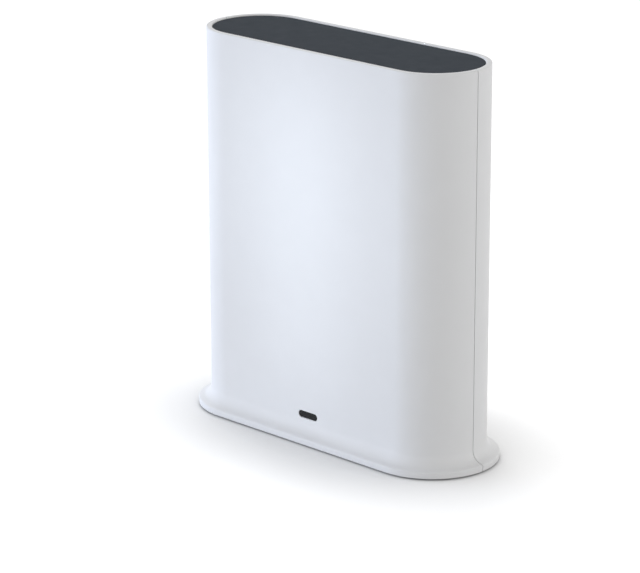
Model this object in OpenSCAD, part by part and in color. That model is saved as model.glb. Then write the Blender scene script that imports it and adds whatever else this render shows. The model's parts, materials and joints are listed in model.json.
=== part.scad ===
// Upright base station for wireless cameras, in millimetres.
// +Z is up, the front face looks towards -Y, and the rubber feet stand on z = 0.

/* [Body] */
// Width across the rounded ends
body_w = 120; // [112:1:140]
// Depth between the front and rear faces, and the diameter of the rounded ends
body_d = 38.4; // [37:0.2:44]
// Height of the rim above the table
body_h = 140; // [132:1:170]
// Thickness of the shell walls
wall = 2.1; // [1.6:0.1:2.6]
// Rounding of the rim edges
rim_round = 0.5; // [0.2:0.1:0.8]
// Width of the parting line between the two shells
seam_gap = 0.3; // [0.1:0.05:0.4]
// Thickness of the locating lips behind the parting line
lip_t = 1; // [0.6:0.1:1.6]
// Reach of the locating lips past the parting line
lip_reach = 1.6; // [1:0.1:3]
// Distance of the locating lips from the base plate and the ledge
lip_clear = 1; // [0.5:0.1:2]
// Clearance between pieces that fit together
fit_gap = 0.12; // [0.05:0.01:0.25]
// Clearance around pieces that move
run_gap = 0.3; // [0.2:0.05:0.4]

/* [Foot] */
// How far the foot stands out from the walls
foot_out = 4.5; // [3.8:0.1:6]
// Slope of the foot's upper side in degrees
foot_slope = 16; // [12:1:22]
// Radius of the cove between the walls and the foot
foot_cove_r = 4; // [3.5:0.1:4.4]
// Height of the foot's upright edge
foot_edge_h = 2.3; // [1.8:0.1:2.8]
// Rounding of the foot's upper edge
foot_edge_round = 0.6; // [0.3:0.1:0.9]
// Rounding of the foot's lower edge
foot_under_round = 0.4; // [0.2:0.1:0.5]
// Width of the foot's underside around the base plate
foot_rim = 3.2; // [2.6:0.1:3.6]
// Height of the foot's underside above the table
foot_gap = 0.5; // [0.4:0.1:1.2]

/* [Top panel] */
// Thickness of the top panel
panel_t = 1.8; // [1.4:0.1:2.4]
// Depth of the top panel below the rim
panel_recess = 0.4; // [0.2:0.1:1]
// Chamfer of the top panel's upper edge
panel_chamfer = 0.25; // [0.1:0.05:0.5]
// Width of the ledge that carries the top panel
ledge_w = 1.5; // [1:0.1:2]
// Thickness of that ledge
ledge_t = 1.4; // [1:0.1:2]
// Width of the snap hooks under the top panel
hook_w = 8; // [5:0.5:12]
// Thickness of the snap hooks
hook_t = 1.2; // [0.8:0.1:1.6]
// How far the hooks catch under the ledge
hook_bite = 0.7; // [0.4:0.1:0.9]
// Distance of the hooks from the middle
hook_x = 24; // [16:1:32]

/* [Base] */
// Thickness of the base plate
base_t = 2.2; // [1.9:0.1:2.5]
// Length of the air slots
vent_l = 20; // [14:1:22]
// Width of the air slots
vent_w = 2; // [1.4:0.1:2.6]
// Distance between neighbouring air slots
vent_pitch = 4; // [3.6:0.1:4.4]
// Air slots on each side
vent_count = 5; // [3:1:5]
// Distance of the first air slot from the middle
vent_x = 18; // [17:0.5:20]
// Width of the shallow field in the middle of the base plate
field_w = 28; // [20:1:30]
// Depth of that field from front to rear
field_d = 20; // [14:1:24]
// How far that field is sunk
field_sunk = 0.3; // [0.2:0.1:0.6]
// Radius of the rubber feet
pad_r = 5.5; // [4.5:0.1:6]
// Chamfer around the rubber feet
pad_chamfer = 0.3; // [0.1:0.1:0.5]
// How deep the rubber feet are let into the base plate
pad_sunk = 0.8; // [0.5:0.1:1.2]
// Distance of the rubber feet from the ends of the body
pad_in = 15.5; // [13:0.5:18]
// Distance of the rubber feet from the middle plane
pad_y = 11.5; // [9:0.5:13]

/* [Status window] */
// Width of the status window
window_w = 8.8; // [6:0.2:12]
// Height of the status window
window_h = 2.3; // [2:0.1:3.4]
// Height of its middle above the table
window_z = 9.7; // [9:0.1:12]
// How far the window is sunk below the front face
window_sunk = 0.1; // [0.05:0.05:0.3]
// Border of the light pipe's flange behind the front wall
pipe_border = 1.4; // [1:0.1:2]
// Thickness of that flange
pipe_flange_t = 1.2; // [0.8:0.1:2]
// Width of the status lamp
led_w = 3.4; // [2.4:0.1:4]
// Height of the status lamp
led_h = 2; // [1.6:0.1:2.6]
// Thickness of the status lamp
led_t = 1.6; // [1.2:0.1:2.2]

/* [Connector bay] */
// Height of the sockets' middle above the table
bay_z = 27; // [26.5:0.5:32]
// Depth of the bay below the rear face
bay_depth = 3.6; // [3:0.1:4.4]
// Border around the sockets
bay_margin = 4.2; // [3.6:0.1:5]
// Distance between neighbouring sockets
port_gap = 5.4; // [4.4:0.1:6.4]
// Rounding of the bay's corners
bay_round = 2.5; // [1.5:0.1:3.2]
// Thickness of the connector plate
plate_t = 1.8; // [1.4:0.1:2.4]
// How far the connector plate reaches behind the bay's edge
plate_seat = 1.2; // [0.8:0.1:1.6]
// Thickness of the frame around the connector plate
bay_frame_t = 1.4; // [1:0.1:1.8]
// Height of the sockets above the board
port_rise = 15.4; // [14.6:0.1:16.4]
// How far the sockets stand out of the connector plate
port_proud = 0.3; // [0.1:0.1:0.8]

/* [Power socket] */
// Width of the power socket's block
dc_w = 9.4; // [9.2:0.1:11]
// Height of the power socket's block
dc_h = 11; // [10:0.1:12]
// Outer radius of the power socket's collar
dc_collar_r = 4.4; // [4.1:0.1:4.6]
// Radius of the power socket's bore
dc_bore_r = 3.2; // [2.9:0.05:3.4]
// Depth of that bore
dc_bore_l = 9.6; // [9:0.1:11]
// Radius of the centre pin
dc_pin_r = 1.05; // [0.8:0.05:1.3]
// How far the pin's tip lies inside the mouth
dc_pin_short = 0.8; // [0.4:0.1:1.5]
// Chamfer of the pin's tip
dc_pin_chamfer = 0.4; // [0.2:0.1:0.6]
// Width of the leaf contact
dc_leaf_w = 2.4; // [1.6:0.1:3]
// Thickness of the leaf contact
dc_leaf_t = 0.3; // [0.2:0.05:0.4]
// Length of the leaf contact
dc_leaf_l = 6; // [5:0.1:7]
// Depth of the leaf contact's slot behind the bore
dc_slot = 0.9; // [0.6:0.1:1.2]

/* [Network socket] */
// Width of the network socket
eth_w = 16; // [15.4:0.1:18]
// Height of the network socket
eth_h = 13.4; // [12.6:0.1:15]
// Thickness of its metal shield
eth_skin = 0.4; // [0.3:0.05:0.6]
// Width of the plug's cavity
eth_cavity_w = 11.9; // [11.7:0.05:12.3]
// Height of the plug's cavity
eth_cavity_h = 7.2; // [6.8:0.1:7.6]
// Depth of the plug's cavity
eth_cavity_l = 12.4; // [11.6:0.1:13]
// Width of the latch channel
latch_w = 6.2; // [5.8:0.1:6.8]
// Height of the latch channel
latch_h = 2; // [1.6:0.1:2.4]
// Number of contact wires
wire_count = 8; // [4:2:8]
// Distance between neighbouring contact wires
wire_pitch = 1.02; // [0.9:0.01:1.2]
// Width of a contact wire
wire_w = 0.5; // [0.3:0.05:0.6]
// Thickness of a contact wire
wire_t = 0.35; // [0.25:0.05:0.5]
// Height of the wires' tips below the cavity's roof
wire_drop = 1.9; // [1.4:0.1:2.4]
// Length of the wires along the cavity
wire_l = 6; // [4:0.5:7]
// Distance of the wires from the socket's mouth
wire_in = 3; // [2:0.5:4]
// Length of the wires' seat on the roof
wire_seat = 1; // [0.6:0.1:1.6]

/* [Storage socket] */
// Width of the storage socket
usb_w = 13.2; // [13:0.1:14.4]
// Height of the storage socket
usb_h = 5.8; // [5.6:0.1:7]
// Thickness of its metal shell
usb_skin = 0.35; // [0.25:0.05:0.45]
// Width of the tongue
tongue_w = 11.1; // [10.6:0.1:11.6]
// Thickness of the tongue
tongue_t = 1.9; // [1.6:0.1:2.2]
// Length of the tongue
tongue_l = 9.2; // [8:0.1:10.4]
// How far the tongue ends inside the mouth
tongue_short = 0.7; // [0.4:0.1:1.4]
// Height of the tongue's middle above the socket's middle
tongue_up = 0.7; // [0.4:0.05:0.9]
// Number of contact strips on the tongue
strip_count = 4; // [4:1:4]
// Distance between neighbouring contact strips
strip_pitch = 2.3; // [2:0.1:2.5]
// Width of a contact strip
strip_w = 1; // [0.7:0.1:1.3]
// Thickness of a contact strip
strip_t = 0.2; // [0.1:0.05:0.25]
// Length of a contact strip
strip_l = 7; // [5:0.5:7.5]

/* [Sync button] */
// Radius of the button's cap
sync_r = 5; // [4:0.1:6]
// How far the cap stands out of the rear face
sync_proud = 0.9; // [0.7:0.1:1.6]
// Rounding of the cap's edge
sync_round = 0.5; // [0.2:0.1:0.7]
// Height of the button's middle above the bay
sync_up = 16; // [15:0.5:20]
// How far the button travels
sync_travel = 0.5; // [0.3:0.05:0.6]
// Reach of the flange that keeps the cap in its hole
sync_flange = 1.3; // [0.9:0.1:1.8]
// Thickness of that flange
sync_flange_t = 1.2; // [0.8:0.1:1.6]
// Radius of the stem behind the cap
sync_stem_r = 2; // [1.6:0.1:2.6]
// Length of the guide around the flange
guide_l = 5; // [4:0.5:6]
// Wall of that guide
guide_t = 1.4; // [1:0.1:1.8]

/* [Switches] */
// Width of the switch housings
switch_w = 6; // [5:0.1:7]
// Thickness of the switch housings
switch_t = 3.4; // [3:0.1:4]
// Radius of the switch plungers
plunger_r = 1.75; // [1.4:0.05:2]
// Clearance around the plungers
plunger_gap = 0.15; // [0.1:0.05:0.25]
// How deep the plungers sit in their housings
plunger_sunk = 1; // [0.8:0.1:1.2]
// Depth of the plungers' wells
well = 2; // [1.9:0.1:2.4]
// Height of the sync switch's plunger above the board
sync_switch_h = 5; // [4.8:0.1:6]
// Distance of the reset plunger behind the connector plate
reset_short = 0.7; // [0.4:0.1:1.4]
// How far the reset plunger travels
reset_travel = 0.3; // [0.2:0.05:0.5]
// Radius of the reset hole
reset_hole_r = 0.9; // [0.7:0.05:1.2]
// Room that the reset hole takes in the row of sockets
reset_room = 4; // [4:0.5:6]

/* [Board] */
// Width of the circuit board
board_w = 84; // [82:1:88]
// Height of the circuit board
board_h = 92; // [90:1:100]
// Thickness of the circuit board
board_t = 1.6; // [1.2:0.2:2]
// Height of the board's lower edge above the table
board_z = 6.8; // [6:0.1:7.2]
// Rounding of the board's corners
board_round = 2; // [1:0.5:4]
// Distance of the screw holes from the board's edges
hole_in = 4.5; // [4:0.1:5.5]
// Radius of the posts that carry the board
post_r = 3; // [2.6:0.1:3.6]

/* [Board components] */
// Width of the processor
cpu_w = 19; // [15:0.5:23]
// Thickness of the processor
cpu_t = 1.6; // [1.2:0.1:2.2]
// Step around the processor's cap
cpu_step = 1; // [0.5:0.1:2]
// Height of the processor above the board's lower edge
cpu_up = 50; // [46:1:54]
// Thickness of the thermal pad
thermal_t = 0.8; // [0.5:0.1:1.2]
// Width of the heat sink
sink_w = 50; // [44:1:54]
// Height of the heat sink
sink_h = 40; // [34:1:44]
// Thickness of the heat sink's base
sink_base_t = 2; // [1.5:0.1:3]
// Number of fins
fin_count = 9; // [5:1:11]
// Height of a fin
fin_h = 5; // [3:0.5:7]
// Thickness of a fin
fin_t = 1.2; // [0.8:0.1:1.6]
// Width of a memory chip
memory_w = 11; // [8:0.5:12]
// Height of a memory chip
memory_h = 9; // [7:0.5:10]
// Thickness of the memory and radio chips
chip_t = 1; // [0.8:0.1:1.2]
// Distance between the processor and the memory chips
memory_gap = 3; // [2:0.5:4]
// Width of the radio's shield can
can_w = 30; // [26:1:34]
// Height of the radio's shield can
can_h = 14; // [11:0.5:16]
// Thickness of the shield can over the board
can_rise = 2.6; // [2.4:0.1:3.2]
// Sheet thickness of the shield can
can_skin = 0.3; // [0.2:0.05:0.4]
// Width of a radio chip
radio_w = 7; // [5:0.5:9]
// Width of the flash chip
flash_w = 12; // [9:0.5:13]
// Height of the flash chip
flash_h = 8; // [6:0.5:9]
// Distance of the flash chip from the middle
flash_x = 33; // [32.6:0.2:34]
// Width of the network transformer
coil_w = 16; // [13:0.5:17]
// Height of the network transformer
coil_h = 8; // [6:0.5:8.5]
// Thickness of the network transformer
coil_t = 5.2; // [4:0.1:6]
// Radius of the capacitor cans
cap_r = 3.15; // [2.5:0.05:3.6]
// Length of the capacitor cans
cap_l = 8; // [6:0.5:10]
// Number of capacitors
cap_count = 3; // [1:1:3]
// Width of the power inductors
choke_w = 6; // [5:0.5:7]
// Thickness of the power inductors
choke_t = 3; // [2:0.1:4]
// Length of the clock crystal
crystal_l = 5; // [4:0.5:6]
// Width of the clock crystal
crystal_w = 3.2; // [2.4:0.1:3.6]
// Thickness of the clock crystal
crystal_t = 1.1; // [0.8:0.1:1.4]
// Distance between neighbouring components
spacing = 2.5; // [2:0.1:3]

/* [Antennas] */
// Width of an antenna board
antenna_w = 34; // [26:1:36]
// Height of an antenna board
antenna_h = 10; // [7:0.5:12]
// Thickness of an antenna board
antenna_t = 0.8; // [0.6:0.1:1.2]
// Distance of the antenna boards from the middle
antenna_x = 20; // [19:0.5:22]
// Distance of the antenna boards below the top panel's ledge
antenna_down = 14; // [10:0.5:16]
// Diameter of the antenna leads
lead_d = 1.2; // [0.8:0.1:1.4]
// How far the leads lie along the antenna boards
lead_seat = 4; // [3:0.5:5]
// Radius of the lead plugs on the board
lead_plug_r = 1.5; // [1.2:0.1:1.8]
// Height of the lead plugs above the board
lead_plug_h = 2; // [1.6:0.1:2.4]
// Distance of the lead plugs below the board's upper edge
lead_plug_down = 9; // [6:0.5:12]

/* [Screws] */
// Radius of the screw shanks
screw_r = 1.4; // [1.2:0.05:1.6]
// Length of the screws under the head
screw_l = 8; // [6:0.5:9]
// Length of the screws' points
screw_point = 1; // [0.6:0.1:1.4]
// Radius of the screw heads
screw_head_r = 2.7; // [2.2:0.1:2.9]
// Thickness of the screw heads
screw_head_t = 1.1; // [0.9:0.1:1.2]
// Length of the cross recess in the heads
cross_l = 2.8; // [2:0.1:3.4]
// Width of the cross recess
cross_w = 0.6; // [0.4:0.1:0.8]
// Depth of the cross recess
cross_deep = 0.6; // [0.3:0.1:0.7]
// Clearance around the screw shanks
screw_gap = 0.1; // [0.05:0.05:0.2]
// Radius of the screw bosses in the shells
boss_r = 3; // [2.6:0.1:3.4]
// How far the bosses are sunk into the walls
boss_bite = 0.8; // [0.4:0.1:1.2]
// Distance of the base screws from the middle
boss_x = 30; // [28:0.5:31]
// Material beyond the point of a screw
blind = 1.2; // [0.8:0.1:2]

/* [Hidden] */
$fn = 96;
// Overshoot of a cut past the face that it opens
over = 1;
// Steps along a quarter turn of a drawn rounding
quarter_steps = 6;
// Rings and sides of an antenna lead
lead_rings = 24;
lead_sides = 8;

// Plan of the body
end_r = body_d / 2;
run = body_w - body_d;
inner_y = end_r - wall;
sunk_y = end_r - wall / 2;

// Heights of the foot, the base plate and the top
base_top = foot_gap + base_t;
cove_turn = 90 - foot_slope;
cove_in = foot_cove_r * (1 - cos(cove_turn));
cove_down = foot_cove_r * sin(cove_turn);
slope_down = (foot_out - cove_in) * tan(foot_slope);
corner_z = foot_gap + foot_edge_h;
cove_z = corner_z + slope_down + cove_down;
edge_z = corner_z - foot_edge_round * tan(cove_turn / 2);
base_reach = end_r + foot_out - foot_rim;
panel_z = body_h - panel_recess;
ledge_z = panel_z - panel_t;
ledge_under = ledge_z - ledge_t;

// Screw bosses and rubber feet
boss_y = inner_y - boss_r + boss_bite;
boss_top = base_top + screw_l + blind;
head_seat_z = foot_gap + screw_head_t + fit_gap;
pad_x = body_w / 2 - pad_in;

// Row of sockets, from the power socket at +X to the reset hole at -X
row_w = dc_w + eth_w + usb_w + reset_room + 3 * port_gap;
bay_w = row_w + 2 * bay_margin;
bay_h = eth_h + 2 * bay_margin;
dc_x = row_w / 2 - dc_w / 2;
eth_x = dc_x - dc_w / 2 - port_gap - eth_w / 2;
usb_x = eth_x - eth_w / 2 - port_gap - usb_w / 2;
reset_x = usb_x - usb_w / 2 - port_gap - reset_room / 2;

// Depths of the connector plate, the sockets and the board
plate_y = end_r - bay_depth;
plate_back = plate_y - plate_t;
mouth_y = plate_y + port_proud;
board_rear = mouth_y - port_rise;
board_front = board_rear - board_t;
board_top = board_z + board_h;
hole_x = board_w / 2 - hole_in;
hole_low = board_z + hole_in;
hole_high = board_top - hole_in;

// Network socket
eth_roof = bay_z + (eth_cavity_h + latch_h) / 2;
eth_floor = eth_roof - eth_cavity_h;

// Button, switches and board components
sync_z = bay_z + bay_h / 2 + sync_up;
flange_y = inner_y - run_gap;
cap_y = flange_y - sync_flange_t;
guide_r = sync_r + sync_flange + run_gap;
well_bottom = board_rear + switch_t - well;
plunger_bottom = board_rear + switch_t - plunger_sunk;
reset_top = plate_back - reset_short;
cpu_z = board_z + cpu_up;
sink_y = board_front - cpu_t - thermal_t;
memory_x = cpu_w / 2 + memory_gap + memory_w / 2;
can_z = cpu_z + sink_h / 2 + spacing + can_h / 2;
coil_z = bay_z + eth_h / 2 + spacing + coil_h / 2;
cap_z = bay_z + dc_h / 2 + spacing + cap_r;
cap_pitch = 2 * cap_r + spacing;
choke_x = dc_x - cap_r - spacing - choke_w / 2;
choke_z = coil_z + coil_h / 2 + spacing + choke_w / 2;
crystal_z = cpu_z - cpu_w / 2 - spacing - crystal_w / 2;

// Antennas and their leads
antenna_z = ledge_under - antenna_down - antenna_h / 2;
antenna_face = inner_y - antenna_t;
lead_plug_z = board_top - lead_plug_down;
lead_low = [board_rear + lead_plug_h / 2, lead_plug_z + lead_plug_r];
lead_high = [antenna_face - lead_d / 2, antenna_z - antenna_h / 2 + lead_seat];
lead_pull = (lead_high[1] - lead_low[1]) / 2;

// Points of an arc about a centre
function arc(centre, r, from, to, steps = quarter_steps) =
    [for (i = [0:steps]) let (a = from + (to - from) * i / steps) centre + r * [cos(a), sin(a)]];

// Outline of a rectangle with round corners
function round_rect(w, h, r) = concat(
    arc([w / 2 - r, h / 2 - r], r, 0, 90),
    arc([r - w / 2, h / 2 - r], r, 90, 180),
    arc([r - w / 2, r - h / 2], r, 180, 270),
    arc([w / 2 - r, r - h / 2], r, 270, 360)
);

// Outline of a slot with full round ends
function pill(l, w) = concat(
    arc([(l - w) / 2, 0], w / 2, -90, 90, 2 * quarter_steps),
    arc([(w - l) / 2, 0], w / 2, 90, 270, 2 * quarter_steps)
);

// Section of the shell wall as reach from the end's axis and height
wall_section = concat(
    arc([inner_y + rim_round, body_h - rim_round], rim_round, 180, 90),
    arc([end_r - rim_round, body_h - rim_round], rim_round, 90, 0),
    arc([end_r + foot_cove_r, cove_z], foot_cove_r, 180, 180 + cove_turn),
    arc([end_r + foot_out - foot_edge_round, edge_z], foot_edge_round, cove_turn, 0),
    arc([end_r + foot_out - foot_under_round, foot_gap + foot_under_round],
        foot_under_round, 0, -90),
    [
        [base_reach, foot_gap],
        [base_reach, base_top],
        [inner_y, base_top],
        [inner_y, ledge_under],
        [inner_y - ledge_w, ledge_under],
        [inner_y - ledge_w, ledge_z],
        [inner_y, ledge_z]
    ]
);

// Sweeps a section along the rear half of the plan
module half_sweep(section) {
    translate([-run / 2, 0, 0])
        rotate([90, 0, 90])
            linear_extrude(run)
                polygon(section);
    translate([run / 2, 0, 0])
        rotate_extrude(angle = 90)
            polygon(section);
    translate([-run / 2, 0, 0])
        rotate([0, 0, 90])
            rotate_extrude(angle = 90)
                polygon(section);
}

// Plate with the body's plan: a section swept along both halves
module full_sweep(section) {
    half_sweep(section);
    mirror([0, 1, 0])
        half_sweep(section);
}

// Raises an outline drawn in x and z from one depth to another
module along_y(from, to) {
    translate([0, to, 0])
        rotate([90, 0, 0])
            linear_extrude(to - from)
                children();
}

// Block around a middle in x and z, from one depth to another
module block(x, z, w, h, from, to) {
    translate([x - w / 2, from, z - h / 2])
        cube([w, to - from, h]);
}

// Round bar along the depth around a middle in x and z
module rod(x, z, r, from, to) {
    translate([x, from, z])
        rotate([-90, 0, 0])
            cylinder(r = r, h = to - from);
}

module at_boss_places() {
    for (side = [-1, 1])
        translate([side * boss_x, boss_y, 0])
            children();
}

module at_board_holes() {
    for (x = [-hole_x, hole_x], z = [hole_low, hole_high])
        translate([x, 0, z])
            children();
}

// Half of the case wall, cut back at the parting line
module shell_wall() {
    difference() {
        half_sweep(wall_section);
        translate([-body_w, -body_d, -over])
            cube([2 * body_w, body_d + seam_gap / 2, body_h + 2 * over]);
    }
}

module base_bosses() {
    at_boss_places()
        translate([0, 0, base_top])
            cylinder(r = boss_r, h = boss_top - base_top);
}

module boss_pilots() {
    at_boss_places()
        translate([0, 0, base_top - over])
            cylinder(r = screw_r + screw_gap, h = screw_l + over);
}

// Lip behind the parting line at each end, with its root on the rear wall
module seam_lips() {
    lip_r = inner_y - fit_gap;
    lip_low = base_top + lip_clear;
    lip_high = ledge_under - lip_clear;
    past = asin(lip_reach / lip_r);
    root = asin(2 * seam_gap / lip_r);
    for (side = [0, 1])
        mirror([side, 0, 0])
            translate([run / 2, 0, lip_low]) {
                rotate([0, 0, -past])
                    rotate_extrude(angle = 3 * past)
                        translate([lip_r - lip_t, 0])
                            square([lip_t, lip_high - lip_low]);
                rotate([0, 0, root])
                    rotate_extrude(angle = 2 * past - root)
                        translate([lip_r - lip_t, 0])
                            square([sunk_y - lip_r + lip_t, lip_high - lip_low]);
            }
}

// Posts for the board, ending inside the rear wall
module board_posts() {
    intersection() {
        at_board_holes()
            rod(0, 0, post_r, board_rear, end_r);
        full_sweep([[0, 0], [sunk_y, 0], [sunk_y, body_h], [0, body_h]]);
    }
}

module screw() {
    difference() {
        translate([0, 0, -screw_head_t])
            cylinder(r = screw_head_r, h = screw_head_t);
        for (turn = [0, 90])
            rotate([0, 0, turn])
                translate([-cross_l / 2, -cross_w / 2, -screw_head_t - over])
                    cube([cross_l, cross_w, cross_deep + over]);
    }
    cylinder(r = screw_r, h = screw_l - screw_point);
    translate([0, 0, screw_l - screw_point])
        cylinder(r1 = screw_r, r2 = screw_r / 2, h = screw_point);
}

module front_shell() {
    color("whitesmoke")
        mirror([0, 1, 0])
            difference() {
                union() {
                    shell_wall();
                    base_bosses();
                }
                boss_pilots();
                translate([0, 0, window_z])
                    along_y(inner_y - over, end_r + over)
                        polygon(pill(window_w + 2 * fit_gap, window_h + 2 * fit_gap));
            }
}

module rear_shell() {
    seat_w = bay_w + 2 * plate_seat;
    seat_h = bay_h + 2 * plate_seat;
    seat_round = bay_round + plate_seat;
    color("whitesmoke")
        difference() {
            union() {
                shell_wall();
                base_bosses();
                seam_lips();
                board_posts();
                translate([0, 0, bay_z])
                    along_y(plate_back, sunk_y)
                        polygon(round_rect(seat_w + 2 * bay_frame_t, seat_h + 2 * bay_frame_t,
                            seat_round + bay_frame_t));
                rod(0, sync_z, guide_r + guide_t, inner_y - guide_l, sunk_y);
            }
            boss_pilots();
            translate([0, 0, bay_z]) {
                along_y(plate_back - over, plate_y)
                    polygon(round_rect(seat_w, seat_h, seat_round));
                along_y(plate_y - over, end_r + over)
                    polygon(round_rect(bay_w, bay_h, bay_round));
            }
            rod(0, sync_z, guide_r, inner_y - guide_l - over, inner_y);
            rod(0, sync_z, sync_r + run_gap, inner_y - over, end_r + over);
            at_board_holes()
                rod(0, 0, screw_r + screw_gap, board_rear - over, board_front + screw_l + blind);
        }
}

// Cover let into the rim, with hooks that catch under the ledge of both shells
module top_panel() {
    reach = inner_y - fit_gap;
    hook_y = inner_y - ledge_w - fit_gap;
    barb_top = ledge_under - fit_gap;
    barb_low = barb_top - hook_bite;
    color([0.2, 0.21, 0.23]) {
        full_sweep([
            [0, ledge_z], [reach, ledge_z], [reach, panel_z - panel_chamfer],
            [reach - panel_chamfer, panel_z], [0, panel_z]
        ]);
        for (x = [-hook_x, hook_x], side = [0, 1])
            mirror([0, side, 0])
                translate([x - hook_w / 2, 0, 0])
                    rotate([90, 0, 90])
                        linear_extrude(hook_w)
                            polygon([
                                [hook_y - hook_t, ledge_z], [hook_y - hook_t, barb_low],
                                [hook_y, barb_low], [hook_y + hook_bite, barb_top],
                                [hook_y, barb_top], [hook_y, ledge_z]
                            ]);
    }
}

module base_plate() {
    reach = base_reach - fit_gap;
    color("whitesmoke")
        difference() {
            full_sweep([[0, foot_gap], [reach, foot_gap], [reach, base_top], [0, base_top]]);
            for (side = [-1, 1], i = [0:vent_count - 1])
                translate([side * (vent_x + i * vent_pitch), 0, foot_gap - over])
                    rotate([0, 0, 90])
                        linear_extrude(base_t + 2 * over)
                            polygon(pill(vent_l, vent_w));
            translate([-field_w / 2, -field_d / 2, foot_gap - over])
                cube([field_w, field_d, field_sunk + over]);
            for (x = [-pad_x, pad_x], y = [-pad_y, pad_y])
                translate([x, y, foot_gap - over])
                    cylinder(r = pad_r + fit_gap, h = pad_sunk + over);
            for (turn = [0, 1])
                mirror([0, turn, 0])
                    at_boss_places() {
                        translate([0, 0, foot_gap - over])
                            cylinder(r = screw_head_r + fit_gap, h = head_seat_z - foot_gap + over);
                        translate([0, 0, foot_gap])
                            cylinder(r = screw_r + screw_gap, h = base_t + over);
                    }
        }
}

module rubber_feet() {
    pad_top = foot_gap + pad_sunk;
    color([0.25, 0.25, 0.26])
        for (x = [-pad_x, pad_x], y = [-pad_y, pad_y])
            translate([x, y, 0])
                rotate_extrude()
                    polygon([
                        [0, 0], [pad_r - pad_chamfer, 0], [pad_r, pad_chamfer],
                        [pad_r, pad_top], [0, pad_top]
                    ]);
}

module base_screws() {
    color("silver")
        for (turn = [0, 1])
            mirror([0, turn, 0])
                at_boss_places()
                    translate([0, 0, head_seat_z])
                        screw();
}

// Smoked bar from the status window back to the lamp, with a flange behind the wall
module light_pipe() {
    pipe_end = board_front - led_t - run_gap;
    color([0.3, 0.31, 0.34])
        translate([0, 0, window_z]) {
            along_y(-end_r + window_sunk, pipe_end)
                polygon(pill(window_w, window_h));
            along_y(-inner_y, -inner_y + pipe_flange_t)
                polygon(pill(window_w + 2 * pipe_border, window_h + 2 * pipe_border));
        }
}

module status_led() {
    color("ivory")
        block(0, window_z, led_w, led_h, board_front - led_t, board_front);
}

// Dark plate at the bottom of the bay, pierced for the sockets and the reset hole
module io_plate() {
    color([0.2, 0.21, 0.23])
        along_y(plate_back, plate_y)
            difference() {
                translate([0, bay_z])
                    polygon(round_rect(bay_w + 2 * (plate_seat - fit_gap),
                        bay_h + 2 * (plate_seat - fit_gap), bay_round + plate_seat - fit_gap));
                translate([dc_x, bay_z])
                    circle(r = dc_collar_r + fit_gap);
                translate([eth_x, bay_z])
                    square([eth_w + 2 * fit_gap, eth_h + 2 * fit_gap], center = true);
                translate([usb_x, bay_z])
                    square([usb_w + 2 * fit_gap, usb_h + 2 * fit_gap], center = true);
                translate([reset_x, bay_z])
                    circle(r = reset_hole_r);
            }
}

// Round cap, flange and stem in one piece
module sync_button() {
    cap_top = end_r + sync_proud;
    stem_end = board_rear + sync_switch_h;
    color("whitesmoke")
        translate([0, 0, sync_z])
            rotate([-90, 0, 0])
                rotate_extrude()
                    polygon(concat(
                        [
                            [0, stem_end], [sync_stem_r, stem_end], [sync_stem_r, cap_y],
                            [sync_r + sync_flange, cap_y], [sync_r + sync_flange, flange_y],
                            [sync_r, flange_y]
                        ],
                        arc([sync_r - sync_round, cap_top - sync_round], sync_round, 0, 90),
                        [[0, cap_top]]
                    ));
}

module switch_housing(x, z) {
    difference() {
        block(x, z, switch_w, switch_w, board_rear, board_rear + switch_t);
        rod(x, z, plunger_r + plunger_gap, well_bottom, board_rear + switch_t + over);
    }
}

module sync_switch() {
    color("dimgray")
        switch_housing(0, sync_z);
}

module sync_plunger() {
    color("black")
        rod(0, sync_z, plunger_r, plunger_bottom, board_rear + sync_switch_h);
}

module reset_switch() {
    color("dimgray")
        switch_housing(reset_x, bay_z);
}

// Long plunger that a pin reaches through the reset hole
module reset_plunger() {
    color("black")
        rod(reset_x, bay_z, plunger_r, plunger_bottom, reset_top);
}

module main_board() {
    color("darkgreen")
        difference() {
            translate([0, 0, board_z + board_h / 2])
                along_y(board_front, board_rear)
                    polygon(round_rect(board_w, board_h, board_round));
            at_board_holes()
                rod(0, 0, screw_r + screw_gap, board_front - over, board_rear + over);
        }
}

module board_screws() {
    color("silver")
        at_board_holes()
            translate([0, board_front, 0])
                rotate([-90, 0, 0])
                    screw();
}

module processor() {
    color([0.12, 0.12, 0.13]) {
        block(0, cpu_z, cpu_w, cpu_w, board_front - cpu_t / 2, board_front);
        block(0, cpu_z, cpu_w - 2 * cpu_step, cpu_w - 2 * cpu_step, board_front - cpu_t,
            board_front - cpu_t / 2);
    }
}

module thermal_pad() {
    color("lightsteelblue")
        block(0, cpu_z, cpu_w - 2 * cpu_step, cpu_w - 2 * cpu_step, sink_y, board_front - cpu_t);
}

// Finned plate that the thermal pad holds on the processor
module heat_sink() {
    fin_pitch = (sink_w - fin_t) / (fin_count - 1);
    color("silver") {
        block(0, cpu_z, sink_w, sink_h, sink_y - sink_base_t, sink_y);
        for (i = [0:fin_count - 1])
            block((fin_t - sink_w) / 2 + i * fin_pitch, cpu_z, fin_t, sink_h,
                sink_y - sink_base_t - fin_h, sink_y - sink_base_t);
    }
}

module memory_chips() {
    color([0.12, 0.12, 0.13])
        for (side = [-1, 1])
            block(side * memory_x, cpu_z, memory_w, memory_h, board_front - chip_t, board_front);
}

module flash_chip() {
    color([0.12, 0.12, 0.13])
        block(flash_x, cpu_z, flash_w, flash_h, board_front - chip_t, board_front);
}

// Sheet-metal can over the radio chips
module radio_shield() {
    color("silver")
        difference() {
            block(0, can_z, can_w, can_h, board_front - can_rise, board_front);
            block(0, can_z, can_w - 2 * can_skin, can_h - 2 * can_skin,
                board_front - can_rise + can_skin, board_front + over);
        }
}

module radio_chips() {
    color([0.12, 0.12, 0.13])
        for (side = [-1, 1])
            block(side * (radio_w + spacing) / 2, can_z, radio_w, radio_w,
                board_front - chip_t, board_front);
}

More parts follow.
